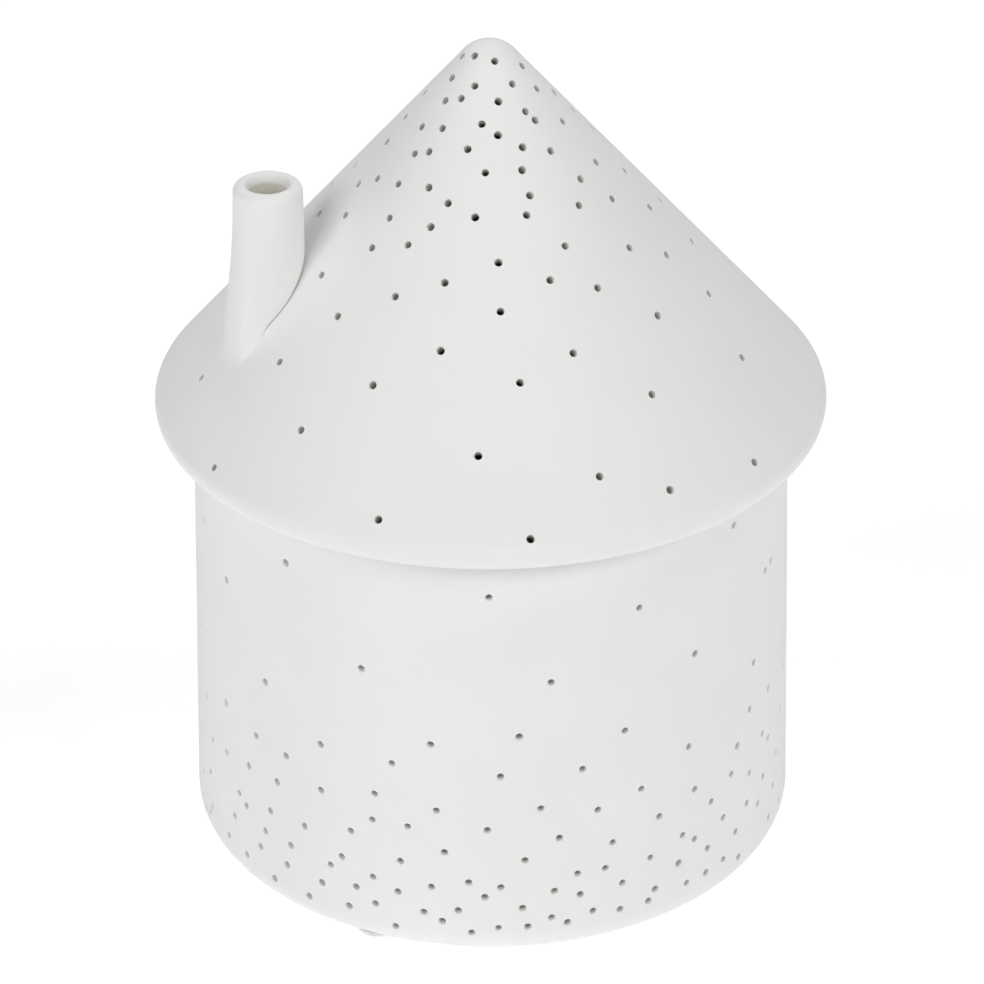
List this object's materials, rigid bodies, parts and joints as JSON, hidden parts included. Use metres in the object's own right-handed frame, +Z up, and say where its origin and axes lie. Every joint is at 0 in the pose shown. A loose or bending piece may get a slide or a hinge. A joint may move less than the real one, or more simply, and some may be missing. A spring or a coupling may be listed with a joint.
{
  "type": "tealight holder",
  "caption": "Round pierced porcelain house for a tealight, with a cone roof that lifts off, a chimney and three bumper feet.",
  "frame": {"origin": "centre of the circle of the three feet, on the surface that the object stands on", "axes": "+Z up along the axis of the house, -Y towards the viewer, with the chimney on the -X side"},
  "size_m": [0.12, 0.12, 0.1553],
  "materials": {
    "bisque_porcelain": "unglazed matt white",
    "clear_rubber": "soft translucent white",
    "cup_aluminium": "thin rolled sheet",
    "wax": "white paraffin wax",
    "wick_cotton": "waxed braided cotton",
    "sustainer_tin": "plain tinned sheet"
  },
  "bodies": {
    "house": {"house_wall": "bisque_porcelain", "foot_pad_front": "clear_rubber", "foot_pad_right": "clear_rubber", "foot_pad_left": "clear_rubber"},
    "roof_lid": {"roof": "bisque_porcelain", "chimney": "bisque_porcelain"},
    "tealight": {"tealight_cup": "cup_aluminium", "wax": "wax", "wick": "wick_cotton", "wick_sustainer": "sustainer_tin"}
  },
  "joints": [
    {"name": "roof_lift", "type": "slide", "parent": "house", "child": "roof_lid", "axis": [0, 0, 1], "range_m": [0, 0.1]},
    {"name": "tealight_lift", "type": "slide", "parent": "house", "child": "tealight", "axis": [0, 0, 1], "range_m": [0, 0.08]}
  ]
}
